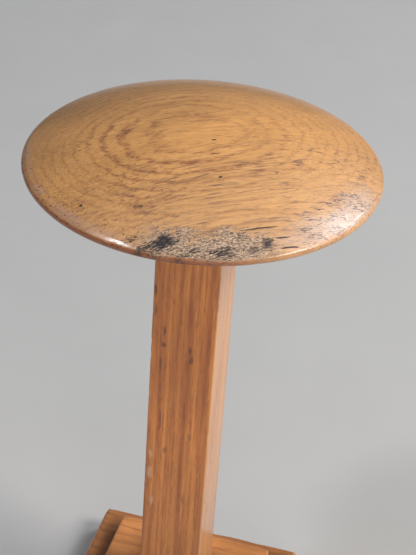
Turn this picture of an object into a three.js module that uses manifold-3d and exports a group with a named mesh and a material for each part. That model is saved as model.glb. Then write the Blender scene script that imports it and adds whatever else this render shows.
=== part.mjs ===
// A countertop hat stand in oak: a turned, domed mushroom top on a square post,
// standing on a two-step square plinth. A hardwood dowel joins the top to the post,
// a stub tenon seats the post in the upper plinth, and slotted wood screws driven
// from underneath pull the two plinth boards and the post together.
//
// Units are millimetres, +Z is up, and the origin is the middle of the underside.

import * as THREE from "three";
import { mergeVertices } from "three/addons/utils/BufferGeometryUtils.js";
import Module from "manifold-3d";

// ---- driving dimensions ----

const TOP_DIAMETER = 153;
const TOP_THICKNESS = 20;
const RIM_HEIGHT = 5; // the rounded edge, from the underside to the shoulder
const RIM_UNDERCUT = 3.5; // how far the flat underside stops short of the rim
const SHOULDER_INSET = 1.8; // how far the shoulder lies inside the widest circle
const SHOULDER_SLOPE = (27 * Math.PI) / 180; // of the dome, where it meets the shoulder
const POST_WIDTH = 30;
const POST_HEIGHT = 246.5; // from the plinth to the underside of the top
const POST_CHAMFER = 0.8;
const UPPER_PLINTH = { width: 82, height: 9.5, edge: 1.2 };
const LOWER_PLINTH = { width: 109, height: 15, edge: 3 };

const FIT_GAP = 0.3; // between a hole and what it holds
const DOWEL = { diameter: 12, inTop: 13, inPost: 22, chamfer: 1 };
const TENON = { width: 20, length: 8.5 };

const POST_SCREW = {
  length: 50, headDiameter: 9.6, shankDiameter: 4.8, threadShare: 0.62, threads: 11, slot: 1.3,
};
const PLINTH_SCREW = {
  length: 20, headDiameter: 6.8, shankDiameter: 3.5, threadShare: 0.66, threads: 7, slot: 1,
};
const SCREW_SINK = 1; // how deep the screw heads sit below the underside
const THREAD_DEPTH_SHARE = 0.22; // of the shank's radius
const HEAD_ANGLE = Math.PI / 4; // half of a 90 degree countersink
const HEAD_LAND = 0.4; // the short straight edge of a countersunk head
const SCREW_SPACING = 54; // between the plinth screws, along X and along Y

const OAK = { color: 0xb57842, roughness: 0.42, metalness: 0 };
const OAK_POST = { color: 0xa96a3c, roughness: 0.45, metalness: 0 };
const BEECH = { color: 0xc9a06c, roughness: 0.6, metalness: 0 };
const STEEL = { color: 0x8d8a84, roughness: 0.4, metalness: 0.9 };

const TURNED_SIDES = 72;
const DOWEL_SIDES = 24;
const SCREW_SIDES = 16;

// ---- heights that follow from them ----

const upperPlinthZ = LOWER_PLINTH.height;
const postZ = upperPlinthZ + UPPER_PLINTH.height;
const topZ = postZ + POST_HEIGHT;
const topRadius = TOP_DIAMETER / 2;

// ---- solids and how they are cut ----

const wasm = await Module();
wasm.setup();

function solidOf(geometry) {
  const bare = geometry.clone();
  bare.deleteAttribute("normal");
  bare.deleteAttribute("uv");
  const merged = mergeVertices(bare, 1e-4);
  return new wasm.Manifold(
    new wasm.Mesh({
      numProp: 3,
      vertProperties: merged.attributes.position.array,
      triVerts: new Uint32Array(merged.index.array),
    }),
  );
}

function geometryOf(solid) {
  const mesh = solid.getMesh();
  const geometry = new THREE.BufferGeometry();
  geometry.setAttribute("position", new THREE.BufferAttribute(mesh.vertProperties, 3));
  geometry.setIndex(new THREE.BufferAttribute(mesh.triVerts, 1));
  const faceted = geometry.toNonIndexed();
  faceted.computeVertexNormals();
  return faceted;
}

// The geometry with every cutter taken out of it.
function cut(geometry, cutters) {
  const rest = cutters.reduce((solid, cutter) => solid.subtract(solidOf(cutter)), solidOf(geometry));
  return geometryOf(rest);
}

// A profile of (radius, height) points, turned about Z.
function turned(points, sides) {
  const profile = points.map(([radius, height]) => new THREE.Vector2(radius, height));
  return new THREE.LatheGeometry(profile, sides).rotateX(Math.PI / 2);
}

// A square block whose outline at each height is given as (half width, height) points.
function squareBlock(points) {
  const corners = points.map(([halfWidth, height]) => [halfWidth * Math.SQRT2, height]);
  return turned(corners, 4).rotateZ(Math.PI / 4);
}

// ---- screws ----

// Profile of a countersunk wood screw standing on its head at z = 0, grown by a gap all round.
function screwProfile(screw, gap) {
  const headRadius = screw.headDiameter / 2 + gap;
  const shankRadius = screw.shankDiameter / 2 + gap;
  const coneTop = HEAD_LAND + (headRadius - shankRadius) * Math.tan(HEAD_ANGLE);
  return { headRadius, shankRadius, coneTop };
}

function screwGeometry(screw) {
  const { headRadius, shankRadius, coneTop } = screwProfile(screw, 0);
  const threadStart = screw.length * (1 - screw.threadShare);
  const pitch = (screw.length - threadStart) / (screw.threads + 1);
  const points = [[0, 0], [headRadius, 0], [headRadius, HEAD_LAND], [shankRadius, coneTop]];
  for (let turn = 0; turn < screw.threads; turn++) {
    const taper = 1 - 0.55 * (turn / screw.threads) ** 2;
    const root = shankRadius * (1 - THREAD_DEPTH_SHARE) * taper;
    const foot = threadStart + turn * pitch;
    points.push([root, foot], [shankRadius * taper, foot + pitch / 2]);
  }
  points.push([shankRadius * 0.3, screw.length - pitch], [0, screw.length]);
  const blade = new THREE.BoxGeometry(screw.headDiameter * 2, screw.slot, HEAD_LAND * 4 + screw.slot);
  return cut(turned(points, SCREW_SIDES), [blade]);
}

// What a screw needs in the wood: a countersink open to the underside, a hole and its point.
function screwHole(screw) {
  const { headRadius, shankRadius, coneTop } = screwProfile(screw, FIT_GAP);
  const open = -SCREW_SINK * 2;
  const points = [
    [0, open], [headRadius, open], [headRadius, HEAD_LAND], [shankRadius, coneTop],
    [shankRadius, screw.length - shankRadius], [0, screw.length + FIT_GAP],
  ];
  return turned(points, SCREW_SIDES);
}

function atScrewHead(geometry, x, y) {
  return geometry.translate(x, y, SCREW_SINK);
}

const half = SCREW_SPACING / 2;
const plinthScrewSpots = {
  front_left: [-half, -half],
  front_right: [half, -half],
  back_right: [half, half],
  back_left: [-half, half],
};

// One hole cutter for each screw, in the stand's own frame.
function screwHoles() {
  const corners = Object.values(plinthScrewSpots).map(([x, y]) =>
    atScrewHead(screwHole(PLINTH_SCREW), x, y),
  );
  return [atScrewHead(screwHole(POST_SCREW), 0, 0), ...corners];
}

// ---- wooden parts ----

// The mushroom top, from its underside at z = 0: a blind dowel hole, a flat underside,
// a rounded rim, and a dome that is level in the middle and steepest at the shoulder.
function mushroomTop() {
  const holeRadius = DOWEL.diameter / 2 + FIT_GAP;
  const holeDepth = DOWEL.inTop + FIT_GAP;
  const widest = RIM_HEIGHT * 0.54;
  const shoulder = topRadius - SHOULDER_INSET;
  const outline = new THREE.Path();
  outline.moveTo(topRadius - RIM_UNDERCUT, 0);
  outline.bezierCurveTo(topRadius - 1.4, 0, topRadius, widest * 0.4, topRadius, widest);
  outline.bezierCurveTo(topRadius, widest * 1.4, topRadius - 0.7, RIM_HEIGHT - 1, shoulder, RIM_HEIGHT);
  const rim = outline.getPoints(5).map((p) => [p.x, p.y]);
  const rollOff = topRadius * 0.22;
  const dome = new THREE.CubicBezierCurve(
    new THREE.Vector2(shoulder, RIM_HEIGHT),
    new THREE.Vector2(shoulder - rollOff, RIM_HEIGHT + rollOff * Math.tan(SHOULDER_SLOPE)),
    new THREE.Vector2(topRadius * 0.42, TOP_THICKNESS),
    new THREE.Vector2(0, TOP_THICKNESS),
  );
  const crown = dome.getPoints(12).slice(1).map((p) => [p.x, p.y]);
  crown[crown.length - 1][0] = 0;
  const hole = [[0, holeDepth], [holeRadius, holeDepth], [holeRadius, 0]];
  return turned([...hole, ...rim, ...crown], TURNED_SIDES);
}

// A dowel with chamfered ends, from z = 0.
function topDowel() {
  const radius = DOWEL.diameter / 2;
  const length = DOWEL.inTop + DOWEL.inPost;
  return turned(
    [
      [0, 0], [radius - DOWEL.chamfer, 0], [radius, DOWEL.chamfer],
      [radius, length - DOWEL.chamfer], [radius - DOWEL.chamfer, length], [0, length],
    ],
    DOWEL_SIDES,
  );
}

// The post from its shoulder at z = 0, with the stub tenon below it and the dowel hole above.
function post() {
  const corner = POST_WIDTH / 2;
  const section = new THREE.Shape();
  section.moveTo(corner - POST_CHAMFER, -corner);
  for (const turn of [0, 1, 2, 3]) {
    const angle = (turn * Math.PI) / 2;
    const from = new THREE.Vector2(corner, POST_CHAMFER - corner).rotateAround(new THREE.Vector2(), angle);
    const to = new THREE.Vector2(corner, corner - POST_CHAMFER).rotateAround(new THREE.Vector2(), angle);
    section.lineTo(from.x, from.y);
    section.lineTo(to.x, to.y);
  }
  const bar = new THREE.ExtrudeGeometry(section, { depth: POST_HEIGHT, bevelEnabled: false });
  const tenon = new THREE.BoxGeometry(TENON.width, TENON.width, TENON.length + 1);
  tenon.translate(0, 0, (1 - TENON.length) / 2);
  const holeRadius = DOWEL.diameter / 2 + FIT_GAP;
  const dowelHole = turned(
    [
      [0, POST_HEIGHT - DOWEL.inPost - FIT_GAP], [holeRadius, POST_HEIGHT - DOWEL.inPost - FIT_GAP],
      [holeRadius, POST_HEIGHT + 1], [0, POST_HEIGHT + 1],
    ],
    DOWEL_SIDES,
  );
  const screwHoleHere = atScrewHead(screwHole(POST_SCREW), 0, 0).translate(0, 0, -postZ);
  const joined = solidOf(bar).add(solidOf(tenon));
  return cut(geometryOf(joined), [dowelHole, screwHoleHere]);
}

// A plinth board from z = 0 whose upper edge is rounded over.
function roundedBoard({ width, height, edge }) {
  const halfWidth = width / 2;
  const steps = edge > 2 ? 4 : 2;
  const points = [[0, 0], [halfWidth, 0]];
  for (let step = 0; step <= steps; step++) {
    const angle = (step / steps) * (Math.PI / 2);
    points.push([halfWidth - edge * (1 - Math.cos(angle)), height - edge * (1 - Math.sin(angle))]);
  }
  points.push([0, height]);
  return squareBlock(points);
}

function upperPlinth() {
  const mortiseWidth = TENON.width + 2 * FIT_GAP;
  const mortise = new THREE.BoxGeometry(mortiseWidth, mortiseWidth, UPPER_PLINTH.height * 2);
  mortise.translate(0, 0, UPPER_PLINTH.height / 2);
  const holes = screwHoles().map((hole) => hole.translate(0, 0, -upperPlinthZ));
  return cut(roundedBoard(UPPER_PLINTH), [mortise, ...holes]);
}

function lowerPlinth() {
  return cut(roundedBoard(LOWER_PLINTH), screwHoles());
}

// ---- the stand ----

const stand = new THREE.Group();

function place(name, geometry, finish, x, y, z) {
  const mesh = new THREE.Mesh(geometry, new THREE.MeshStandardMaterial(finish));
  mesh.name = name;
  mesh.position.set(x, y, z);
  stand.add(mesh);
}

place("mushroom_top", mushroomTop(), OAK, 0, 0, topZ);
place("top_dowel", topDowel(), BEECH, 0, 0, topZ - DOWEL.inPost);
place("post", post(), OAK_POST, 0, 0, postZ);
place("upper_plinth", upperPlinth(), OAK, 0, 0, upperPlinthZ);
place("lower_plinth", lowerPlinth(), OAK, 0, 0, 0);
place("post_screw", screwGeometry(POST_SCREW), STEEL, 0, 0, SCREW_SINK);
for (const [spot, [x, y]] of Object.entries(plinthScrewSpots)) {
  place(`plinth_screw_${spot}`, screwGeometry(PLINTH_SCREW), STEEL, x, y, SCREW_SINK);
}

export default stand;
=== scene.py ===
"""The looks of an oak countertop hat stand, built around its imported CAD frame. Metres, +Z up."""

import math

import bmesh
import bpy
from mathutils import Matrix, Vector, noise


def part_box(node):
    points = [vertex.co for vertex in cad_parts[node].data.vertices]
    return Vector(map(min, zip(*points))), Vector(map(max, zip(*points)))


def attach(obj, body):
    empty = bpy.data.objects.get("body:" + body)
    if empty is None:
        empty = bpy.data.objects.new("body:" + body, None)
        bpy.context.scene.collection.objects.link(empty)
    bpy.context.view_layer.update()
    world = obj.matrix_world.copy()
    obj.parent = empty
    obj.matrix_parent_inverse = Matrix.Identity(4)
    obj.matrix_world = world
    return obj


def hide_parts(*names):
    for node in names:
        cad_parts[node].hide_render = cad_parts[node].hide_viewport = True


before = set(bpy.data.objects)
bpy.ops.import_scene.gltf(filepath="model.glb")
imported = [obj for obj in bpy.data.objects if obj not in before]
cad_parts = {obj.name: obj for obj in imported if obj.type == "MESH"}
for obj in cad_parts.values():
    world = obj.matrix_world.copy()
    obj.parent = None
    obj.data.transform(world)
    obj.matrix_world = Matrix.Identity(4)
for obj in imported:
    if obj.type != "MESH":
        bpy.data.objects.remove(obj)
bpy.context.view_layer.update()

MM = 0.001
FIT_GAP = 0.3 * MM  # between a hole and what it holds, as in the CAD


def mm(*lengths):
    """A tuple of lengths, given in millimetres."""
    return tuple(length * MM for length in lengths)


# ---- sizes, from the frame ----

top_low, top_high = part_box("mushroom_top")
dowel_low, dowel_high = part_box("top_dowel")
post_low, post_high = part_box("post")
upper_low, upper_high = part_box("upper_plinth")
lower_low, lower_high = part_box("lower_plinth")

TOP_RADIUS = top_high.x
POST_HALF = post_high.x
UPPER_HALF = upper_high.x
LOWER_HALF = lower_high.x
RIM_HEIGHT = 5 * MM
SHOULDER_RADIUS = TOP_RADIUS - 1.8 * MM
SHOULDER_HEIGHT = top_low.z + RIM_HEIGHT

post_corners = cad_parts["post"].data.vertices
tenon_half = max(corner.co.x for corner in post_corners if corner.co.z < post_low.z + 0.01 * MM)


# ---- camera and lights ----

CAMERA_AIM = Vector((5.4 * MM, 1.2 * MM, top_low.z - 54.9 * MM))
CAMERA_BACK = (13.0, 33.8)  # the azimuth and elevation it looks from, in degrees
CAMERA_ROLL = math.radians(4.2)
CAMERA_DISTANCE = 0.66
CAMERA_LENS = 96.3  # millimetres
CAMERA_SENSOR = 36  # millimetres wide


def direction(azimuth, elevation):
    """The unit vector towards an azimuth (0 is the front, 90 the right) and an elevation, in degrees."""
    across, up = math.radians(azimuth), math.radians(elevation)
    return Vector((math.sin(across) * math.cos(up), -math.cos(across) * math.cos(up), math.sin(up)))


def make_camera():
    back = direction(*CAMERA_BACK)
    data = bpy.data.cameras.new("camera")
    data.lens = CAMERA_LENS
    data.sensor_width = CAMERA_SENSOR
    camera = bpy.data.objects.new("camera", data)
    turn = back.to_track_quat("Z", "Y").to_matrix() @ Matrix.Rotation(CAMERA_ROLL, 3, "Z")
    camera.matrix_world = Matrix.Translation(CAMERA_AIM + back * CAMERA_DISTANCE) @ turn.to_4x4()
    bpy.context.scene.collection.objects.link(camera)
    bpy.context.scene.camera = camera


def area_light(name, azimuth, elevation, distance, size, power, tint):
    """A square area light that shines at the middle of the top."""
    data = bpy.data.lights.new(name, "AREA")
    data.size = size
    data.energy = power
    data.color = tint
    light = bpy.data.objects.new(name, data)
    back = direction(azimuth, elevation)
    place = Vector((0, 0, top_low.z)) + back * distance
    light.matrix_world = Matrix.Translation(place) @ back.to_track_quat("Z", "Y").to_matrix().to_4x4()
    bpy.context.scene.collection.objects.link(light)


def make_lights():
    area_light("window", 82, 38, 3.0, 1.2, 68, (1.0, 0.96, 0.91))
    area_light("back_window", 134, 40, 3.0, 1.0, 40, (0.9, 0.94, 1.0))
    area_light("front_fill", 24, 14, 3.0, 1.6, 22, (1.0, 0.95, 0.9))
    area_light("overhead", -55, 57, 2.8, 0.32, 20, (0.88, 0.92, 1.0))
    world = bpy.data.worlds.new("studio")
    world.use_nodes = True
    world.node_tree.nodes["Background"].inputs["Color"].default_value = (0.86, 0.92, 1.0, 1)
    world.node_tree.nodes["Background"].inputs["Strength"].default_value = 0.12
    bpy.context.scene.world = world
    bpy.context.scene.view_settings.view_transform = "Standard"


# ---- node graphs ----


def srgb(red, green, blue):
    """A linear colour from the usual 0 to 255 display values."""
    def linear(value):
        share = value / 255
        return share / 12.92 if share <= 0.04045 else ((share + 0.055) / 1.055) ** 2.4

    return (linear(red), linear(green), linear(blue), 1)


class Shader:
    """A material's node graph, with one short call for each kind of node."""

    def __init__(self, name):
        self.material = bpy.data.materials.new(name)
        self.material.use_nodes = True
        self.nodes = self.material.node_tree.nodes
        self.links = self.material.node_tree.links
        self.surface = self.nodes["Principled BSDF"]
        self.place = self.nodes.new("ShaderNodeTexCoord").outputs["Object"]

    def put(self, socket, value):
        if isinstance(value, bpy.types.NodeSocket):
            self.links.new(value, socket)
        else:
            socket.default_value = value

    def set(self, **values):
        """Sets sockets of the surface shader; an underscore stands for a space."""
        for name, value in values.items():
            self.put(self.surface.inputs[name.replace("_", " ")], value)

    def math(self, operation, *values):
        node = self.nodes.new("ShaderNodeMath")
        node.operation = operation
        for socket, value in zip(node.inputs, values):
            self.put(socket, value)
        return node.outputs[0]

    def plus(self, *values):
        total = values[0]
        for value in values[1:]:
            total = self.math("ADD", total, value)
        return total

    def times(self, *values):
        product = values[0]
        for value in values[1:]:
            product = self.math("MULTIPLY", product, value)
        return product

    def less(self, value, other):
        return self.math("SUBTRACT", value, other)

    def flip(self, value):
        return self.math("SUBTRACT", 1.0, value)

    def most(self, *values):
        largest = values[0]
        for value in values[1:]:
            largest = self.math("MAXIMUM", largest, value)
        return largest

    def vector_math(self, operation, *values, output="Vector"):
        node = self.nodes.new("ShaderNodeVectorMath")
        node.operation = operation
        for socket, value in zip(node.inputs, values):
            self.put(socket, value)
        return node.outputs[output]

    def stretch(self, vector, sizes):
        """The vector divided by a length along each of its axes."""
        scale = tuple(1 / size for size in sizes)
        return self.vector_math("MULTIPLY", vector, scale)

    def length(self, vector):
        return self.vector_math("LENGTH", vector, output="Value")

    def split(self, vector):
        node = self.nodes.new("ShaderNodeSeparateXYZ")
        self.put(node.inputs[0], vector)
        return node.outputs

    def rise(self, value, start, end, low=0.0, high=1.0):
        """A smooth step from low, where the value is at start, to high, where it is at end."""
        node = self.nodes.new("ShaderNodeMapRange")
        node.interpolation_type = "SMOOTHSTEP"
        ends = {"Value": value, "From Min": start, "From Max": end, "To Min": low, "To Max": high}
        for name, amount in ends.items():
            self.put(node.inputs[name], amount)
        return node.outputs["Result"]

    def noise(self, vector, sizes, detail=2.0, roughness=0.5, seed=0.0):
        """Noise around 0.5 whose lumps have these sizes along the vector's axes."""
        node = self.nodes.new("ShaderNodeTexNoise")
        node.noise_dimensions = "4D"
        self.put(node.inputs["Vector"], self.stretch(vector, sizes))
        self.put(node.inputs["W"], seed)
        self.put(node.inputs["Scale"], 1.0)
        self.put(node.inputs["Detail"], detail)
        self.put(node.inputs["Roughness"], roughness)
        return node.outputs["Fac"]

    def cells(self, vector, sizes):
        """Distance to the nearest of many scattered points, 1 being about one cell of these sizes."""
        node = self.nodes.new("ShaderNodeTexVoronoi")
        self.put(node.inputs["Vector"], self.stretch(vector, sizes))
        self.put(node.inputs["Scale"], 1.0)
        return node.outputs["Distance"]

    def mix(self, share, first, second):
        node = self.nodes.new("ShaderNodeMix")
        node.data_type = "RGBA"
        self.put(node.inputs[0], share)
        self.put(node.inputs[6], first)
        self.put(node.inputs[7], second)
        return node.outputs[2]

    def shade(self, colour, share):
        """The colour with its brightness multiplied by a number from nodes."""
        node = self.nodes.new("ShaderNodeVectorMath")
        node.operation = "SCALE"
        self.put(node.inputs[0], colour)
        self.put(node.inputs["Scale"], share)
        return node.outputs[0]

    def bump(self, height, distance, strength):
        node = self.nodes.new("ShaderNodeBump")
        self.put(node.inputs["Height"], height)
        self.put(node.inputs["Distance"], distance)
        self.put(node.inputs["Strength"], strength)
        return node.outputs[0]


# ---- oak ----


class Oak(Shader):
    """Oak under worn varnish, cut from a log whose rings run through the whole board in three dimensions.

    The board's own axes are X along the grain, and Z towards the pith, which lies pith_height away.
    """

    RING = 1.7 * MM
    PORE = mm(9, 0.5, 0.5)
    FINE_PORE = mm(5, 0.3, 0.3)
    RAY = mm(9, 0.5, 7)
    INK = 1.0  # how dark the dirt in the pores is

    def __init__(self, name, centre, turn, pith_height, pale, deep, pore, seed):
        super().__init__(name)
        self.seed = seed
        self.pith_height = pith_height
        mapping = self.nodes.new("ShaderNodeMapping")
        mapping.vector_type = "TEXTURE"
        self.put(mapping.inputs["Vector"], self.place)
        mapping.inputs["Location"].default_value = centre
        mapping.inputs["Rotation"].default_value = turn
        self.straight = mapping.outputs[0]
        self.board = self.wander(self.straight)
        self.early = self.spring_wood()
        self.grow_pores()
        self.colour = self.paint(pale, deep, pore)
        self.rough = self.plus(0.34, self.times(0.22, self.pores), self.times(0.1, self.early))
        self.height = self.relief()

    def wander(self, vector):
        """The board's coordinates, bent a little as real grain is."""
        node = self.nodes.new("ShaderNodeTexNoise")
        self.put(node.inputs["Vector"], self.stretch(vector, mm(60, 20, 20)))
        self.put(node.inputs["Scale"], 1.0)
        self.put(node.inputs["Detail"], 3.0)
        centred = self.vector_math("SUBTRACT", node.outputs["Color"], (0.5, 0.5, 0.5))
        shift = self.vector_math("MULTIPLY", centred, (0, 7 * MM, 2.4 * MM))
        return self.vector_math("ADD", vector, shift)

    def pith_distance(self):
        to_pith = self.vector_math("SUBTRACT", self.board, (0, 0, self.pith_height))
        return self.length(self.vector_math("MULTIPLY", to_pith, (0, 1, 1)))

    def spring_wood(self):
        """1 where each year's growth starts, fading out through the year, and thinner in places."""
        uneven = self.noise(self.board, mm(300, 60, 9), 1.0, 0.5, self.seed)
        rings = self.plus(self.math("DIVIDE", self.pith_distance(), self.RING), self.times(2.2, uneven))
        phase = self.math("FRACT", rings)
        growth = self.times(self.rise(phase, 0.75, 0.1), self.rise(phase, 0.0, 0.08))
        patches = self.noise(self.board, mm(22, 7, 7), 2.0, 0.6, self.seed + 3)
        return self.times(growth, self.plus(0.35, self.times(0.65, self.rise(patches, 0.34, 0.62))))

    def grow_pores(self):
        """Pores, rays, and streaks of fibre."""
        reach = self.plus(0.16, self.times(0.26, self.early))
        pore_centre = self.cells(self.board, self.PORE)
        self.pores = self.rise(pore_centre, self.plus(reach, 0.05), self.less(reach, 0.04))
        self.small_pores = self.rise(self.cells(self.board, self.FINE_PORE), 0.32, 0.14)
        self.rays = self.rise(self.cells(self.board, self.RAY), 0.32, 0.18)
        self.fibre = self.noise(self.board, mm(26, 0.6, 0.6), 3.0, 0.6, self.seed)
        self.cloud = self.noise(self.board, mm(45, 14, 14), 3.0, 0.55, self.seed + 7)

    def paint(self, pale, deep, pore):
        """The wood's colour: pale, deep in the spring wood and the rays, with dark pores."""
        colour = self.mix(self.times(0.55, self.early), pale, deep)
        brightness = self.plus(0.3, self.times(0.8, self.fibre), self.times(0.6, self.cloud))
        colour = self.shade(colour, brightness)
        colour = self.mix(self.times(0.25, self.rays), colour, deep)
        colour = self.mix(self.times(0.36 * self.INK, self.small_pores), colour, pore)
        return self.mix(self.times(0.66 * self.INK, self.pores), colour, pore)

    def relief(self):
        """The height of the surface: raised fibres and hollow pores."""
        hollow = self.plus(self.pores, self.times(0.3, self.small_pores))
        return self.less(self.times(0.5, self.fibre), hollow)

    def finish(self, coat=0.55):
        self.set(
            Base_Color=self.colour,
            Roughness=self.rough,
            Normal=self.bump(self.height, 0.12 * MM, 0.55),
            Coat_Weight=coat,
            Coat_Roughness=0.16,
        )
        return self.material


class PostOak(Oak):
    """The post's oak, straight in the grain, with wide rings and closed pores."""

    RING = 3.4 * MM
    INK = 0.4

    def bands_and_right_sheen(self):
        """Redder bands up the post, and a painted sheen that makes the right face paler."""
        band = self.noise(self.place, mm(5, 5, 120), 3.0, 0.55, 4.0)
        redder = self.mix(0.55, self.colour, srgb(158, 78, 40))
        self.colour = self.mix(self.rise(band, 0.42, 0.62), self.colour, redder)
        x = self.split(self.place)[0]
        # painted sheen: the right face made paler, where it catches the light
        right_face_sheen = self.rise(x, POST_HALF - 1.2 * MM, POST_HALF - 0.5 * MM)
        self.colour = self.mix(self.times(0.6, right_face_sheen), self.colour, srgb(216, 160, 104))

    def mark(self, across, height, half_width, half_height, strength=1.0):
        """A ragged mark on the front face, at a height above the plinth. Sizes in millimetres."""
        middle = (across * MM, 0, upper_high.z + height * MM)
        away = self.vector_math("SUBTRACT", self.flat_place, middle)
        size = self.length(self.stretch(away, (half_width * MM, 1, half_height * MM)))
        inside = self.rise(self.plus(size, self.times(3, self.ragged)), 1.4, 0.5)
        return self.times(strength, inside, self.on_front)

    def marks(self, *spots):
        return self.most(*[self.mark(*spot) for spot in spots])

    def wear(self):
        """Dark ticks and pale scuffs on the front face, and the post darker towards its foot."""
        _, y, z = self.split(self.place)
        self.ragged = self.less(self.noise(self.place, mm(0.8, 0.8, 3), 3.0, 0.7, 6.0), 0.5)
        self.on_front = self.rise(y, 1.4 * MM - POST_HALF, 0.8 * MM - POST_HALF)
        self.flat_place = self.vector_math("MULTIPLY", self.place, (1, 0, 1))
        ticks = self.marks(
            (3.4, 161, 0.8, 2.6),
            (4.2, 156.5, 0.9, 2.6),
            (-13.7, 191, 0.6, 3.4),
            (-13.3, 181, 0.6, 3.4, 0.8),
            (-8.7, 170, 0.5, 2.8),
            (-8.8, 162, 1.1, 1.2),
            (-10.1, 151, 0.5, 4),
            (-9.5, 137, 0.4, 2.2, 0.7),
            (-8.7, 119, 0.5, 5.5, 0.8),
            (5.7, 112, 0.9, 2, 0.5),
            (-5.4, 101, 1.6, 1.8, 0.6),
            (4.5, 73, 0.7, 3.4, 0.6),
            (14.2, 192, 0.7, 15, 0.55),
        )
        scuffs = self.marks((-12.6, 97, 0.9, 2.2), (-12.7, 85.5, 1.1, 3), (-10.9, 68, 1.1, 2.6))
        # darker towards the foot of the post
        toward_foot = self.rise(z, upper_high.z + 110 * MM, upper_high.z + 10 * MM)
        self.colour = self.mix(self.times(0.34, toward_foot), self.colour, srgb(116, 84, 56))
        self.colour = self.mix(self.times(0.65, ticks), self.colour, srgb(78, 50, 48))
        self.colour = self.mix(self.times(0.45, scuffs), self.colour, srgb(226, 196, 170))


class PlinthOak(Oak):
    """The plinth boards' oak, with its pores half filled by the varnish."""

    INK = 0.5


class TopOak(Oak):
    """The top's oak: nested rings that show best left of the middle, and long open pores at the front.

    Along and across the grain are measured from the middle of the rings.
    """

    RINGS = (0.7, 1.8, 3.0, 4.4, 5.8, 7.2, 8.7, 10.3, 12.0, 13.8, 15.7, 17.7, 19.8)  # depths, in mm
    FAINT = 0.6  # how strongly the innermost ring shows
    PORE = mm(18, 0.6, 0.6)
    INK = 1.15
    WAVE = mm(130, 3, 3)  # the long pores run where noise of this size crosses its middle

    def breaks(self, sizes, start, end, seed, detail=2.0, roughness=0.6):
        """0 and 1 in lumps of these sizes along the board's axes, with soft edges."""
        lumps = self.noise(self.board, sizes, detail, roughness, self.seed + seed)
        return self.rise(lumps, start, end)

    def nested_rings(self):
        """1 where each year's growth starts, fading out soon after."""
        lumps = self.less(self.noise(self.board, mm(7, 3, 3), 3.0, 0.6, self.seed + 1), 0.5)
        depth = self.plus(self.less(self.pith_distance(), self.pith_height), self.times(1.3 * MM, lumps))
        growth = 0.0
        for start, end in zip(self.RINGS, self.RINGS[1:]):
            strength = self.FAINT if start == self.RINGS[0] else 1.0
            inside = self.rise(depth, (start - 0.25) * MM, (start + 0.15) * MM, 0.0, strength)
            fading = self.rise(depth, (start + 0.36 * (end - start)) * MM, (start + 0.1) * MM)
            growth = self.plus(growth, self.times(inside, fading))
        return growth

    def spring_wood(self):
        """The nested rings, broken up, and streaks along the grain. Sets the fields that paint needs."""
        self.along, across, _ = self.split(self.board)
        patchy = self.breaks(mm(12, 4, 4), 0.38, 0.56, 3, 3.0, 0.65)
        dotted = self.breaks(mm(3, 0.9, 0.9), 0.4, 0.56, 4)
        streaky = self.breaks(mm(60, 2.2, 2.2), 0.46, 0.68, 5, 3.0)
        shown = self.times(
            self.rise(self.along, 14 * MM, -14 * MM, 0.3, 1.0),
            self.rise(self.along, -62 * MM, -54 * MM, 0.35, 1.0),
            self.rise(across, -44 * MM, -18 * MM, 0.35, 1.0),
            self.rise(across, 34 * MM, 12 * MM, 0.4, 1.0),
        )
        self.front = self.rise(across, 4 * MM, -24 * MM, 0.25, 0.9)
        # painted shade: the top darker at the left and the back, as the light falls
        self.painted_left_back_shade = self.times(
            self.rise(self.along, 10 * MM, -60 * MM, 1.02, 0.86),
            self.rise(across, 0.0, 60 * MM, 1.0, 0.74),
        )
        patchy = self.plus(0.6, self.times(0.4, patchy))
        dotted = self.plus(0.4, self.times(0.6, dotted))
        self.rings = self.times(self.nested_rings(), shown, self.times(patchy, dotted))
        return self.most(self.rings, self.times(0.62, streaky, self.front))

    def paint(self, pale, deep, pore):
        """The oak's colour, with painted shade darker at the left and the back, long pores, rings and
        painted pale glints.
        """
        colour = self.shade(super().paint(pale, deep, pore), self.painted_left_back_shade)
        waves = self.noise(self.board, self.WAVE, 1.5, 0.5, self.seed + 9)
        lines = self.rise(self.math("ABSOLUTE", self.less(waves, 0.5)), 0.024, 0.006)
        whole = self.times(
            self.breaks(mm(16, 5, 5), 0.42, 0.56, 10),
            self.rise(self.along, -62 * MM, -36 * MM, 0.2, 1.0),
        )
        colour = self.mix(self.times(0.9, lines, whole, self.front), colour, pore)
        colour = self.mix(self.times(0.65, self.rings), colour, deep)
        glint = self.breaks(mm(4, 0.6, 0.6), 0.56, 0.7, 8)
        return self.mix(self.times(0.4, glint), colour, srgb(244, 190, 112))


GRAIN_ANGLE = math.radians(34)  # of the top's grain, from the plinth's X axis
GRAIN_CENTRE = Vector((12 * MM, 1 * MM, top_high.z))  # the middle of the top's nested rings
FRONT = 17  # the angle round the rim, in degrees, of the middle of its rubbed stretch


def top_spot(angle, radius):
    """A place on the top along and across its grain, from its angle (0 front, 90 right) and radius."""
    turn = math.radians(angle)
    place = Vector((radius * math.sin(turn), -radius * math.cos(turn), 0)) - GRAIN_CENTRE
    flat = Matrix.Rotation(-GRAIN_ANGLE, 3, "Z") @ place
    return (flat.x, flat.y, 0)


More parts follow.
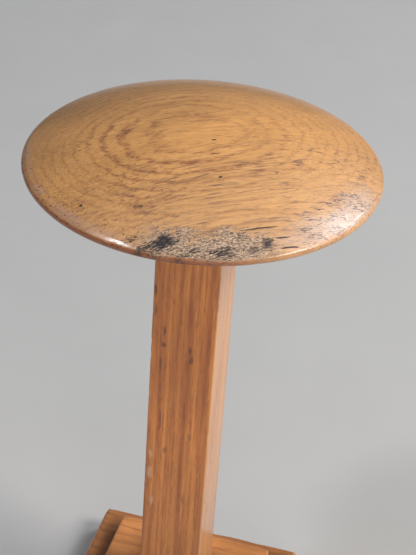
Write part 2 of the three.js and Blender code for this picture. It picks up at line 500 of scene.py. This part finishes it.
class WornTop(TopOak):
    """The top's oak with what use has left on it: a rubbed front, black stains and small marks.

    An angle round the top is in degrees, from 0 at the front to 90 at the right.
    """

    def centred(self, sizes, detail, roughness, seed):
        """Noise around 0 whose lumps have these sizes along and across the grain."""
        return self.less(self.noise(self.straight, sizes, detail, roughness, seed), 0.5)

    def measure(self):
        """Sets where a point of the top lies, and the noises that break up its marks."""
        x, y, self.z = self.split(self.place)
        self.right_front = self.less(x, y)
        self.radius = self.math("SQRT", self.plus(self.times(x, x), self.times(y, y)))
        self.angle = self.math("ARCTAN2", x, self.times(-1.0, y))
        self.flat_place = self.vector_math("MULTIPLY", self.straight, (1, 1, 0))
        self.ragged = self.centred(mm(9, 5, 5), 4.0, 0.65, 5.0)
        self.streaks = self.centred(mm(5, 0.6, 0.6), 3.0, 0.65, 9.0)
        self.specks = self.noise(self.straight, mm(1.0, 0.45, 0.45), 2.0, 0.6, 12.0)
        self.ragged_radius = self.plus(
            self.radius, self.times(22 * MM, self.ragged), self.times(24 * MM, self.streaks)
        )

    def near(self, middle, half, softness):
        """1 where the angle round the top is within half of the middle."""
        off = self.math("ABSOLUTE", self.less(self.angle, math.radians(middle)))
        bent = self.plus(off, self.times(0.25, self.ragged))
        return self.rise(bent, math.radians(half + softness), math.radians(half - softness))

    def patch(self, angle, radius, length, width, strength=1.0):
        """The strength in the middle of an oval along the grain, 0 outside it. Sizes in millimetres."""
        middle = top_spot(angle, radius * MM)
        away = self.vector_math("SUBTRACT", self.flat_place, middle)
        size = self.length(self.stretch(away, (length * MM, width * MM, 1)))
        return self.times(strength, self.rise(size, 1.0, 0.0))

    def patches(self, *spots):
        return self.most(*[self.patch(*spot) for spot in spots])

    def rub_front(self):
        """Sets where the varnish is rubbed off the front of the rim, and how the bare wood is roughened."""
        lower = self.plus(self.z, self.times(3 * MM, self.ragged), self.times(2.5 * MM, self.streaks))
        self.bare = self.times(
            self.near(FRONT, 20, 6),
            self.rise(self.ragged_radius, 63.5 * MM, 67.5 * MM),
            self.rise(lower, top_low.z + 3.0 * MM, top_low.z + 4.4 * MM),
        )
        fuzz = self.noise(self.straight, mm(1.3, 0.36, 0.36), 3.0, 0.7, 14.0)
        self.fuzz = self.rise(fuzz, 0.36, 0.62)

    def rub_right(self):
        """Sets where the varnish is worn thin on the right of the rim, which also carries a painted whitish
        sheen.
        """
        self.thin_varnish_and_sheen = self.times(
            self.near(66, 20, 8),
            self.rise(self.ragged_radius, 63 * MM, 68 * MM),
            self.rise(self.z, SHOULDER_HEIGHT - 2 * MM, SHOULDER_HEIGHT),
        )

    def flecks(self):
        """Dark flecks in the bare wood."""
        dark = self.plus(self.specks, self.times(0.9, self.streaks))
        return self.times(self.rise(dark, 0.52, 0.6), self.bare)

    def thin_streaks(self):
        """Dark streaks in the thin varnish."""
        dark = self.plus(self.streaks, self.times(0.5, self.ragged))
        return self.times(self.thin_varnish_and_sheen, self.rise(dark, 0.03, 0.1))

    def make_stains(self):
        """Sets the black stains round the front, hatched along the grain."""
        spots = self.patches(
            (2.5, 71.5, 12, 6.5, 0.9),
            (35.5, 71, 7.5, 6, 0.75),
            (31, 73, 7, 3.5, 0.75),
            (21, 73.5, 11, 4, 0.85),
            (-2, 74.4, 12, 3.5, 0.85),
            (-7, 72.5, 9, 4, 0.62),
            (10, 75, 14, 2.5, 0.8),
            (50, 68.6, 4, 3, 0.62),
            (60.5, 62.9, 6, 1.6, 0.6),
            (66, 63.2, 6, 1.6, 0.6),
            (71, 64, 5, 1.4, 0.6),
            (-11, 58.7, 4, 2.5, 0.5),
        )
        hatch = self.centred(mm(3.5, 0.4, 0.4), 3.0, 0.7, 17.0)
        broken = self.plus(
            spots, self.times(1.6, self.streaks), self.times(3.8, hatch), self.times(1.4, self.ragged)
        )
        self.stains = self.times(self.rise(broken, 0.4, 0.85), self.rise(spots, 0.06, 0.3))

    def make_cracks(self):
        """Sets the short black splits along the grain."""
        spots = self.patches(
            (42, 74.2, 6.5, 0.6),
            (41, 69.6, 6, 0.6, 0.7),
            (35, 64.2, 12, 0.55),
            (26, 20.6, 4, 0.5),
        )
        self.cracks = self.rise(self.plus(spots, self.times(0.8, self.streaks)), 0.25, 0.45)

    def dots(self):
        """A few black dots."""
        spots = self.patches((-30, 68.4, 1.3, 1.1), (25, 36, 1.5, 1), (34.5, 10.4, 2, 0.8))
        return self.rise(spots, 0.3, 0.5)

    def smudges(self):
        """Soft grey under the darkest stains."""
        spots = self.patches((3, 71.2, 8, 4.5), (35.5, 71.2, 6, 4.5, 0.7), (22, 73.6, 8, 2.6, 0.6))
        return self.rise(self.plus(spots, self.times(1.5, self.ragged)), 0.2, 0.9)

    def mottle(self):
        """Small brown lumps over the front left."""
        lumps = self.noise(self.straight, mm(3.2, 1.5, 1.5), 4.0, 0.65, 19.0)
        return self.times(
            self.rise(lumps, 0.53, 0.64),
            self.rise(self.patches((-20, 52, 40, 26), (-62, 52, 20, 18, 0.7)), 0.0, 0.5),
            self.rise(self.ragged, -0.16, 0.04, 0.3, 1.0),
        )

    def rim_dots(self):
        """Dark dots along the front left of the rim."""
        return self.times(
            self.rise(self.cells(self.place, mm(2.4, 2.4, 2.4)), 0.24, 0.12),
            self.rise(self.radius, 67 * MM, 71 * MM),
            self.near(-28, 48, 12),
        )

    def scuffs(self):
        """Pale scuffs on the left."""
        lumps = self.noise(self.place, mm(2.2, 2.2, 2.2), 3.0, 0.6, 15.0)
        return self.times(self.rise(lumps, 0.6, 0.7), self.patch(-45, 58, 26, 22))

    def shoulder_reflection(self):
        """A painted mauve reflection along the left of the rim."""
        return self.times(
            self.rise(self.math("ABSOLUTE", self.less(self.radius, 74.2 * MM)), 2.8 * MM, 0.8 * MM),
            self.near(-45, 36, 8),
            self.rise(self.z, top_low.z + 2.2 * MM, top_low.z + 4.2 * MM),
            self.rise(self.ragged, -0.16, 0.1),
        )

    def varnished(self):
        """The oak's colour, with a painted whitish sheen towards the right front, and painted reddish shade
        low on the rim.
        """
        # painted whitish sheen, growing towards the right front
        right_sheen = self.rise(self.right_front, 0.0, 90 * MM, 0.0, 0.36)
        sheen_colour = self.mix(self.early, srgb(210, 172, 134), srgb(132, 90, 74))
        ragged_height = self.plus(self.z, self.times(2 * MM, self.ragged))
        # painted reddish shade low on the rim, strongest at the front left, with dark specks in it
        lip_shade = self.rise(ragged_height, top_low.z + 4.4 * MM, top_low.z + 3.2 * MM)
        lip_shade = self.times(lip_shade, self.plus(0.1, self.times(0.8, self.near(-40, 72, 16))))
        lip_shade_and_specks = self.mix(self.rise(self.specks, 0.5, 0.62), srgb(166, 94, 52), srgb(92, 52, 36))
        return self.mix(lip_shade, self.mix(right_sheen, self.colour, sheen_colour), lip_shade_and_specks)

    def wear(self):
        """Lays every mark over the varnished oak, and leaves the flat underside without them."""
        self.measure()
        self.rub_front()
        self.rub_right()
        self.make_stains()
        self.make_cracks()
        varnished = self.varnished()
        layers = (
            (0.5, self.patches((-22, 40, 6, 5, 0.6), (-11, 58.7, 7, 5, 0.7)), srgb(112, 74, 62)),
            (0.6, self.patch(43, 71.5, 9, 4.5), srgb(222, 184, 158)),
            (0.6, self.mottle(), srgb(128, 80, 62)),
            (0.5, self.scuffs(), srgb(226, 190, 146)),
            # painted mauve reflection along the left shoulder
            (0.4, self.shoulder_reflection(), srgb(178, 146, 138)),
            (1.0, self.bare, self.mix(self.fuzz, srgb(118, 88, 72), srgb(228, 196, 164))),
            # painted whitish sheen over the thin varnish on the right of the rim
            (0.6, self.thin_varnish_and_sheen, srgb(212, 186, 170)),
            (0.75, self.smudges(), srgb(78, 70, 74)),
            (0.75, self.flecks(), srgb(66, 52, 46)),
            (0.75, self.thin_streaks(), srgb(84, 64, 62)),
            (0.7, self.rim_dots(), srgb(74, 46, 40)),
            (0.9, self.most(self.stains, self.cracks, self.dots()), srgb(34, 31, 36)),
        )
        colour = varnished
        for strength, share, tint in layers:
            colour = self.mix(self.times(strength, share), colour, tint)
        above = self.rise(self.z, top_low.z + 0.4 * MM, top_low.z + 1.6 * MM)
        self.colour = self.mix(above, varnished, colour)
        self.rough = self.plus(self.rough, self.times(0.35, self.bare), self.times(0.12, self.stains))
        self.height = self.plus(
            self.height, self.times(self.bare, self.fuzz, 2.0), self.times(-1.5, self.cracks)
        )


def top_material():
    oak = WornTop(
        "oak_top",
        centre=GRAIN_CENTRE,
        turn=(0, math.radians(-1.2), GRAIN_ANGLE),
        pith_height=300 * MM,
        pale=srgb(224, 163, 98),
        deep=srgb(142, 84, 54),
        pore=srgb(88, 58, 62),
        seed=2.0,
    )
    oak.wear()
    return oak.finish(coat=oak.less(0.55, oak.plus(oak.times(0.5, oak.bare), oak.times(0.25, oak.thin_varnish_and_sheen))))


def post_material():
    oak = PostOak(
        "oak_post",
        centre=(0, 0, post_low.z),
        turn=(0, math.radians(-90), math.radians(12)),
        pith_height=140 * MM,
        pale=srgb(228, 146, 72),
        deep=srgb(176, 94, 48),
        pore=srgb(104, 58, 44),
        seed=11.0,
    )
    oak.bands_and_right_sheen()
    oak.wear()
    return oak.finish()


def plinth_material(name, low, high, seed, wall):
    """Oak with painted shade round its foot, and on top round what stands there, whose half width is wall.
    """
    oak = PlinthOak(
        name,
        centre=tuple((low + high) / 2),
        turn=(0, 0, 0),
        pith_height=-90 * MM,
        pale=srgb(210, 140, 82),
        deep=srgb(174, 108, 62),
        pore=srgb(92, 52, 36),
        seed=seed,
    )
    x, y, z = oak.split(oak.place)
    outward = oak.most(oak.math("ABSOLUTE", x), oak.math("ABSOLUTE", y))
    uneven = oak.noise(oak.place, mm(6, 6, 6), 3.0, 0.6, seed + 2)
    from_wall = oak.less(outward, oak.plus(wall, oak.times(4 * MM, uneven)))
    on_top = oak.rise(z, high.z - 1 * MM, high.z - 0.2 * MM)
    # painted shade: darker on top round what stands on the board, and low round the board's own foot
    step_shade = oak.times(oak.rise(from_wall, 18 * MM, -1 * MM), on_top)
    foot_shade = oak.rise(oak.plus(z, oak.times(5 * MM, uneven)), low.z + 9 * MM, low.z + 3 * MM)
    oak.colour = oak.mix(oak.times(0.7, oak.most(step_shade, foot_shade)), oak.colour, srgb(70, 42, 28))
    return oak.finish(coat=0.3)


def dowel_material():
    """Bare beech, pale, with short dark flecks along the grain."""
    shader = Shader("beech")
    fibre = shader.noise(shader.place, mm(0.4, 0.4, 18), 3.0, 0.6)
    fleck = shader.rise(shader.cells(shader.place, mm(0.9, 0.9, 3)), 0.3, 0.2)
    wood = shader.mix(fibre, srgb(196, 158, 112), srgb(222, 188, 142))
    shader.set(
        Base_Color=shader.mix(shader.times(0.5, fleck), wood, srgb(150, 108, 70)),
        Roughness=shader.plus(0.6, shader.times(0.2, fibre)),
        Normal=shader.bump(shader.less(fibre, fleck), 0.05 * MM, 0.5),
    )
    return shader.material


def screw_material():
    """Old steel: turned marks, a dull skin and a little brown rust."""
    shader = Shader("screw_steel")
    rust = shader.rise(shader.noise(shader.place, mm(2, 2, 2), 5.0, 0.7), 0.52, 0.68)
    grain = shader.noise(shader.place, mm(0.15, 1.5, 0.3), 3.0, 0.6)
    steel = shader.mix(grain, srgb(120, 117, 110), srgb(168, 165, 158))
    shader.set(
        Base_Color=shader.mix(rust, steel, srgb(96, 58, 36)),
        Metallic=shader.flip(shader.times(0.8, rust)),
        Roughness=shader.plus(0.32, shader.times(0.2, grain), shader.times(0.35, rust)),
        Normal=shader.bump(shader.plus(grain, rust), 0.04 * MM, 0.5),
    )
    return shader.material


def floor_material():
    """A pale, slightly mottled matt sheet."""
    shader = Shader("floor")
    mottle = shader.noise(shader.place, mm(60, 60, 60), 4.0, 0.6)
    shader.set(
        Base_Color=shader.mix(mottle, srgb(187, 186, 184), srgb(195, 194, 192)),
        Roughness=shader.plus(0.5, shader.times(0.1, mottle)),
    )
    return shader.material


# ---- mesh building ----

CORNER_POINTS = 7  # in each rounded corner of a square outline
SIDE_POINTS = 26  # along each straight side


def square(half, corner, height):
    """A ring of points round a square with rounded corners, at a height."""
    ring = []
    straight = half - corner
    for side in range(4):
        turn = Matrix.Rotation(side * math.pi / 2, 3, "Z")
        for step in range(SIDE_POINTS):
            along = straight * (2 * step / SIDE_POINTS - 1)
            ring.append(turn @ Vector((half, along, height)))
        for step in range(CORNER_POINTS):
            angle = math.pi / 2 * step / CORNER_POINTS
            arc = Vector((straight + corner * math.cos(angle), straight + corner * math.sin(angle), height))
            ring.append(turn @ arc)
    return ring


def circle_like(ring, radius, height):
    """A round ring whose points lie in the same directions as those of another ring."""
    return [Vector((p.x, p.y, 0)).normalized() * radius + Vector((0, 0, height)) for p in ring]


def circle(radius, height, count):
    angles = [2 * math.pi * i / count for i in range(count)]
    return [Vector((radius * math.cos(a), radius * math.sin(a), height)) for a in angles]


def on_axis(height):
    return [Vector((0, 0, height))]


def between(first, last, count):
    """Numbers from first to last in equal steps, without the first."""
    return [first + (last - first) * (i + 1) / count for i in range(count)]


def loft(name, rings, closed=False):
    """A skin over rings of points. A ring of one point closes an end, and closed joins the two ends."""
    work = bmesh.new()
    rows = [[work.verts.new(point) for point in ring] for ring in rings]
    pairs = list(zip(rows, rows[1:])) + ([(rows[-1], rows[0])] if closed else [])
    for near, far in pairs:
        count = max(len(near), len(far))
        for i in range(count):
            j = (i + 1) % count
            corners = [near[i % len(near)], near[j % len(near)], far[j % len(far)], far[i % len(far)]]
            work.faces.new(dict.fromkeys(corners))
    bmesh.ops.recalc_face_normals(work, faces=work.faces)
    mesh = bpy.data.meshes.new(name)
    work.to_mesh(mesh)
    work.free()
    piece = bpy.data.objects.new(name, mesh)
    bpy.context.scene.collection.objects.link(piece)
    return piece


def press_in(piece, depth):
    """Moves each point of a piece inwards along its normal by what depth(point, normal) gives."""
    mesh = piece.data
    shifts = [vertex.normal * depth(vertex.co, vertex.normal) for vertex in mesh.vertices]
    for vertex, shift in zip(mesh.vertices, shifts):
        vertex.co -= shift


def cut(piece, cutters):
    """Takes the cutters out of the piece, and removes them."""
    for cutter in cutters:
        modifier = piece.modifiers.new("cut", "BOOLEAN")
        modifier.operation = "DIFFERENCE"
        modifier.solver = "EXACT"
        modifier.object = cutter
    graph = bpy.context.evaluated_depsgraph_get()
    result = bpy.data.meshes.new_from_object(piece.evaluated_get(graph))
    piece.modifiers.clear()
    piece.data = result
    for cutter in cutters:
        bpy.data.objects.remove(cutter)


def lump(point, size, seed=0):
    """Smooth noise from -1 to 1 whose lumps are about size across."""
    return noise.noise(point / size + Vector((seed * 17.3, seed * 5.1, seed * 9.7)))


def smooth_step(value, start, end):
    share = min(max((value - start) / (end - start), 0), 1)
    return share * share * (3 - 2 * share)


def bezier(start, first, second, end, count):
    """Points on a cubic curve, without its start."""
    controls = (start, first, second, end)
    points = []
    for t in between(0, 1, count):
        weights = ((1 - t) ** 3, 3 * t * (1 - t) ** 2, 3 * t * t * (1 - t), t**3)
        points.append(tuple(sum(w * point[k] for w, point in zip(weights, controls)) for k in (0, 1)))
    return points


def show(piece, node, material, sharp=40):
    """Finishes a piece that stands for a CAD node."""
    piece.data.materials.clear()
    piece.data.materials.append(material)
    for face in piece.data.polygons:
        face.use_smooth = True
    piece.data.set_sharp_from_angle(angle=math.radians(sharp))
    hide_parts(node)
    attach(piece, "root")


# ---- the wooden pieces ----

TOP_SEGMENTS = 560  # round the top


def top_profile():
    """(radius, height) points of the turned top, from the bottom of the dowel hole to the crown."""
    hole_radius = dowel_high.x + FIT_GAP
    hole_height = dowel_high.z + FIT_GAP
    underside = top_low.z
    chamfer = 0.5 * MM
    foot = TOP_RADIUS - 3.5 * MM
    widest = underside + RIM_HEIGHT * 0.54
    profile = [(hole_radius * share, hole_height) for share in (0.5, 1)]
    profile += [(hole_radius, z) for z in between(hole_height, underside + chamfer, 8)]
    profile += [(r, underside) for r in between(hole_radius, foot, 20)]
    profile += bezier(
        (foot, underside),
        (TOP_RADIUS - 1.4 * MM, underside),
        (TOP_RADIUS, widest - RIM_HEIGHT * 0.32),
        (TOP_RADIUS, widest),
        12,
    )
    profile += bezier(
        (TOP_RADIUS, widest),
        (TOP_RADIUS, widest + RIM_HEIGHT * 0.22),
        (TOP_RADIUS - 0.7 * MM, SHOULDER_HEIGHT - 1 * MM),
        (SHOULDER_RADIUS, SHOULDER_HEIGHT),
        10,
    )
    roll_off = TOP_RADIUS * 0.22
    profile += bezier(
        (SHOULDER_RADIUS, SHOULDER_HEIGHT),
        (SHOULDER_RADIUS - roll_off, SHOULDER_HEIGHT + roll_off * math.tan(math.radians(27))),
        (TOP_RADIUS * 0.42, top_high.z),
        (0.4 * MM, top_high.z),
        72,
    )
    return profile


def top_wear(point, normal):
    """How far the top's skin has gone: tool ripple, knocks round the rim, and the splintered front."""
    radius = math.hypot(point.x, point.y)
    angle = math.degrees(math.atan2(point.x, -point.y))
    if point.z < top_low.z + 0.2 * MM:
        return 0
    rim = smooth_step(radius, 66 * MM, 74 * MM)
    ripple = 0.02 * MM * (1 + lump(point, 9 * MM, 1))
    knocks = 0.22 * MM * rim * max(0, lump(point, 6 * MM, 2) - 0.25)
    above = smooth_step(point.z, top_low.z + 3 * MM, top_low.z + 6 * MM)
    front = smooth_step(abs(angle - FRONT + 6 * lump(point, 8 * MM, 3)), 29, 19)
    rough = 0.5 + 0.5 * lump(point, 1.6 * MM, 4) + 0.25 * lump(point, 0.8 * MM, 5)
    splinter = 0.4 * MM * front * above * smooth_step(radius, 64 * MM, 70 * MM) * max(0, rough)
    return ripple + knocks + splinter


def make_top():
    rings = [on_axis(dowel_high.z + FIT_GAP)]
    rings += [circle(radius, height, TOP_SEGMENTS) for radius, height in top_profile()]
    rings.append(on_axis(top_high.z))
    top = loft("turned_top", rings)
    press_in(top, top_wear)
    show(top, "mushroom_top", top_material())


POST_CORNER = 0.7 * MM
POST_ROWS = 330  # rows of points up its faces
CHAMFER = 0.4 * MM  # on the tenon, and round the mouth of the dowel's hole


def screw_sizes(node):
    """Where a screw's axis, foot and tip lie, and the radius of its head."""
    low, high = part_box(node)
    middle = (low + high) / 2
    return {"x": middle.x, "y": middle.y, "foot": low.z, "tip": high.z, "head": (high.y - low.y) / 2}


def moved(rings, screw):
    """The rings, moved from the Z axis to a screw's."""
    shift = Vector((screw["x"], screw["y"], 0))
    return [[point + shift for point in ring] for ring in rings]


SHANK_SHARE = 0.5  # of the head's radius
HEAD_LAND = 0.4 * MM
PLINTH_CORNERS = ("front_left", "front_right", "back_right", "back_left")
PLINTH_SCREWS = [f"plinth_screw_{corner}" for corner in PLINTH_CORNERS]


def screw_hole_profile(node):
    """(radius, height) points of the hole that a screw sits in, from its mouth to its point."""
    screw = screw_sizes(node)
    head = screw["head"] + FIT_GAP
    shank = screw["head"] * SHANK_SHARE + FIT_GAP
    cone_foot = screw["foot"] + HEAD_LAND
    return [
        (head, cone_foot),
        (shank, cone_foot + head - shank),
        (shank, screw["tip"] - shank),
        (0, screw["tip"] + FIT_GAP),
    ]


def arris(point, half, reach):
    """1 on a square bar's corner edges, falling to 0 at reach from them."""
    inset = 2 * half - abs(point.x) - abs(point.y)
    return smooth_step(inset, reach, 0)


def post_wear(point, normal):
    """Rounded, knocked corners and faintly uneven planed faces."""
    if point.z < upper_high.z + 0.5 * MM or abs(normal.z) > 0.5:
        return 0
    near = arris(point, POST_HALF, 3 * MM)
    planed = 0.02 * MM * (1 + lump(Vector((point.x, point.y, point.z / 4)), 8 * MM, 6))
    softened = 0.07 * MM * near * (1 + lump(point, 14 * MM, 7))
    nick = 0.7 * MM * near * max(0, lump(point, 5 * MM, 8) - 0.35)
    return planed + softened + nick


def make_post():
    """The post, from the point of its screw's hole, round the outside, to the foot of its dowel's hole."""
    shoulder, top = upper_high.z, post_high.z
    _, _, (shank, shank_end), (_, point) = screw_hole_profile("post_screw")
    dowel_hole = dowel_high.x + FIT_GAP
    dowel_foot = dowel_low.z - FIT_GAP
    outer = square(POST_HALF, POST_CORNER, 0)
    rings = [on_axis(point), circle_like(outer, shank, shank_end)]
    rings += [circle_like(outer, shank, z) for z in between(shank_end, post_low.z, 4)]
    rings.append(square(tenon_half - CHAMFER, CHAMFER, post_low.z))
    rings += [square(tenon_half, CHAMFER, z) for z in (post_low.z + CHAMFER, shoulder)]
    rings.append(square(POST_HALF, POST_CORNER, shoulder))
    rings += [square(POST_HALF, POST_CORNER, z) for z in between(shoulder, top, POST_ROWS)]
    rings.append(circle_like(outer, dowel_hole + CHAMFER, top))
    rings.append(circle_like(outer, dowel_hole, top - CHAMFER))
    rings += [circle_like(outer, dowel_hole, z) for z in between(top - CHAMFER, dowel_foot, 6)]
    rings.append(on_axis(dowel_foot))
    post = loft("square_post", rings)
    press_in(post, post_wear)
    show(post, "post", post_material())


LOWER_CORNER = 1.5 * MM
UPPER_CORNER = 1 * MM
SHARPEST = 0.2 * MM  # the smallest radius of a board's corner
HOLE_POINTS = 40  # round a screw's hole


def board_rings(low, high, corner, lower_edge, upper_edge, inner_low, inner_high):
    """Rings of a board with rounded edges, from inner_low on its underside, round it, to inner_high."""
    half = high.x

    def drawn_in(inset, height):
        return square(half - inset, max(corner - inset, SHARPEST), height)

    rings = [inner_low]
    rings += [square(half * share, corner * share, low.z) for share in (0.55, 0.75, 0.9)]
    for angle in [0] + between(0, math.pi / 2, 4):
        inset, rise = lower_edge * (1 - math.sin(angle)), lower_edge * (1 - math.cos(angle))
        rings.append(drawn_in(inset, low.z + rise))
    rings += [square(half, corner, z) for z in between(low.z + lower_edge, high.z - upper_edge, 10)]
    for angle in between(0, math.pi / 2, 9):
        inset, drop = upper_edge * (1 - math.cos(angle)), upper_edge * (1 - math.sin(angle))
        rings.append(drawn_in(inset, high.z - drop))
    rings += [square(half * share, corner * share, high.z) for share in (0.93, 0.88, 0.8, 0.6)]
    rings.append(inner_high)
    return rings


def board_wear(low, high):
    """The wear of a plinth board: knocked outer edges and a faintly uneven surface."""
    half = high.x

    def depth(point, normal):
        outward = max(abs(point.x), abs(point.y))
        if outward < half * 0.5 or point.z < low.z + 0.3 * MM:
            return 0
        near_side = smooth_step(outward, half - 4 * MM, half)
        near_top = smooth_step(point.z, high.z - 4 * MM, high.z)
        knock = 0.7 * MM * near_side * near_top * max(0, lump(point, 7 * MM, 9) - 0.2)
        corner = 0.5 * MM * arris(point, half, 5 * MM) * (1 + lump(point, 6 * MM, 10))
        return knock + corner + 0.03 * MM * (1 + lump(point, 12 * MM, 11))

    return depth


def plinth_screw_cutters():
    """One cutter for each of the four plinth screws, open below the plinth."""
    floor = lower_low.z - 2 * MM
    cutters = []
    for node in PLINTH_SCREWS:
        screw = screw_sizes(node)
        profile = screw_hole_profile(node)
        mouth = profile[0][0]
        rings = [on_axis(floor), circle(mouth, floor, HOLE_POINTS)]
        rings += [circle(radius, height, HOLE_POINTS) for radius, height in profile[:-1]]
        rings.append(on_axis(profile[-1][1]))
        cutters.append(loft("cutter", moved(rings, screw)))
    return cutters


def finish_board(board, node, seed, wall):
    """Wears a plinth board, cuts its screw holes and gives it its material."""
    low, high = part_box(node)
    press_in(board, board_wear(low, high))
    cut(board, plinth_screw_cutters())
    show(board, node, plinth_material(f"oak_{node}", low, high, seed, wall))


def make_lower_plinth():
    """The wider board, with a countersunk hole through its middle for the post's screw."""
    (head, cone_foot), (shank, cone_top), _, _ = screw_hole_profile("post_screw")
    outer = square(LOWER_HALF, LOWER_CORNER, 0)
    mouth = circle_like(outer, head, lower_low.z)
    cone = [circle_like(outer, shank, cone_top), circle_like(outer, head, cone_foot)]
    outlet = circle_like(outer, shank, lower_high.z)
    rings = board_rings(lower_low, lower_high, LOWER_CORNER, 0.6 * MM, 3 * MM, mouth, outlet)
    board = loft("lower_board", rings + cone, closed=True)
    finish_board(board, "lower_plinth", 21.0, UPPER_HALF)


def make_upper_plinth():
    """The smaller board, with a square mortise through its middle for the post's tenon."""
    mortise = tenon_half + FIT_GAP
    inner = [square(mortise, SHARPEST, z) for z in (upper_low.z, upper_high.z)]
    rings = board_rings(upper_low, upper_high, UPPER_CORNER, 0.3 * MM, 1.2 * MM, *inner)
    board = loft("upper_board", rings, closed=True)
    finish_board(board, "upper_plinth", 31.0, POST_HALF)


# ---- the dowel and the screws ----


def make_dowel():
    """A fluted dowel with chamfered ends."""
    flutes = 18
    count = flutes * 8
    radius = dowel_high.x
    chamfer = 1 * MM

    def ring(size, height, flute):
        points = []
        for i in range(count):
            angle = 2 * math.pi * i / count
            dip = flute * max(0, math.cos(flutes * angle)) ** 2
            points.append(Vector(((size - dip) * math.cos(angle), (size - dip) * math.sin(angle), height)))
        return points

    low, high = dowel_low.z, dowel_high.z
    rings = [on_axis(low), ring(radius - chamfer, low, 0), ring(radius, low + chamfer, 0.25 * MM)]
    rings += [ring(radius, z, 0.35 * MM) for z in between(low + chamfer, high - chamfer, 12)]
    rings += [ring(radius - chamfer, high, 0), on_axis(high)]
    show(loft("fluted_dowel", rings), "top_dowel", dowel_material())


SCREW_POINTS = 48  # round a screw
THREAD_ROWS = 9  # rings of points for each turn of the thread
PITCH_SHARE = 0.42  # of the head's radius, from turn to turn
THREAD_DEPTH = 0.28  # of the stem's radius
SLOT_SHARE = 0.28  # the slot's width, of the head's radius


def screw_radius(screw, height, angle, pitch):
    """The radius of a wood screw's stem, with its helical thread."""
    length = screw["tip"] - screw["foot"]
    stem = screw["head"] * SHANK_SHARE
    share = (height - screw["foot"]) / length
    thread = smooth_step(share, 0.34, 0.4)  # the shank below it is plain
    core = stem * (1 - THREAD_DEPTH * thread)
    turn = ((height - screw["foot"]) / pitch - angle / (2 * math.pi)) % 1
    ridge = max(0, 1 - abs(turn - 0.5) / 0.26)
    point = 1 - smooth_step(share, 0.82, 1)
    return max((core + (stem - core) * ridge) * point, 0.05 * MM)


def slot_rings(head, foot):
    """The rings of the bar that cuts a screw's slot."""
    half = head * SLOT_SHARE / 2
    low, high = foot - 1 * MM, foot + head * 0.3

    def bar(height):
        return [Vector((p.x / half * head * 1.5, p.y, height)) for p in square(half, half * 0.1, 0)]

    return [on_axis(low), bar(low), bar(high), on_axis(high)]


def make_screw(node, material):
    """A slotted, countersunk wood screw that stands on its head, point up."""
    screw = screw_sizes(node)
    head, foot, tip = screw["head"], screw["foot"], screw["tip"]
    stem = head * SHANK_SHARE
    pitch = head * PITCH_SHARE
    cone_top = foot + HEAD_LAND + head - stem
    outline = (
        (head * 0.6, foot),
        (head - 0.15 * MM, foot),
        (head, foot + 0.12 * MM),
        (head, foot + HEAD_LAND),
        (stem, cone_top),
    )
    rings = [on_axis(foot)]
    rings += [circle(radius, height, SCREW_POINTS) for radius, height in outline]
    angles = [2 * math.pi * i / SCREW_POINTS for i in range(SCREW_POINTS)]
    rows = int((tip - cone_top) / (pitch / THREAD_ROWS))
    for height in between(cone_top, tip - 0.05 * MM, rows):
        radii = [screw_radius(screw, height, angle, pitch) for angle in angles]
        rings.append([Vector((r * math.cos(a), r * math.sin(a), height)) for r, a in zip(radii, angles)])
    rings.append(on_axis(tip))
    piece = loft(f"{node}_steel", moved(rings, screw))
    cut(piece, [loft("blade", moved(slot_rings(head, foot), screw))])
    show(piece, node, material, sharp=30)


def make_screws():
    steel = screw_material()
    for node in ["post_screw"] + PLINTH_SCREWS:
        make_screw(node, steel)


# ---- the floor, and everything together ----

FLOOR_HALF = 12


def make_floor():
    sides = ((-1, -1), (1, -1), (1, 1), (-1, 1))
    corners = [Vector((x * FLOOR_HALF, y * FLOOR_HALF, lower_low.z)) for x, y in sides]
    mesh = bpy.data.meshes.new("floor")
    mesh.from_pydata(corners, [], [(0, 1, 2, 3)])
    floor = bpy.data.objects.new("floor", mesh)
    bpy.context.scene.collection.objects.link(floor)
    mesh.materials.append(floor_material())


make_camera()
make_lights()
make_floor()
make_top()
make_post()
make_upper_plinth()
make_lower_plinth()
make_dowel()
make_screws()
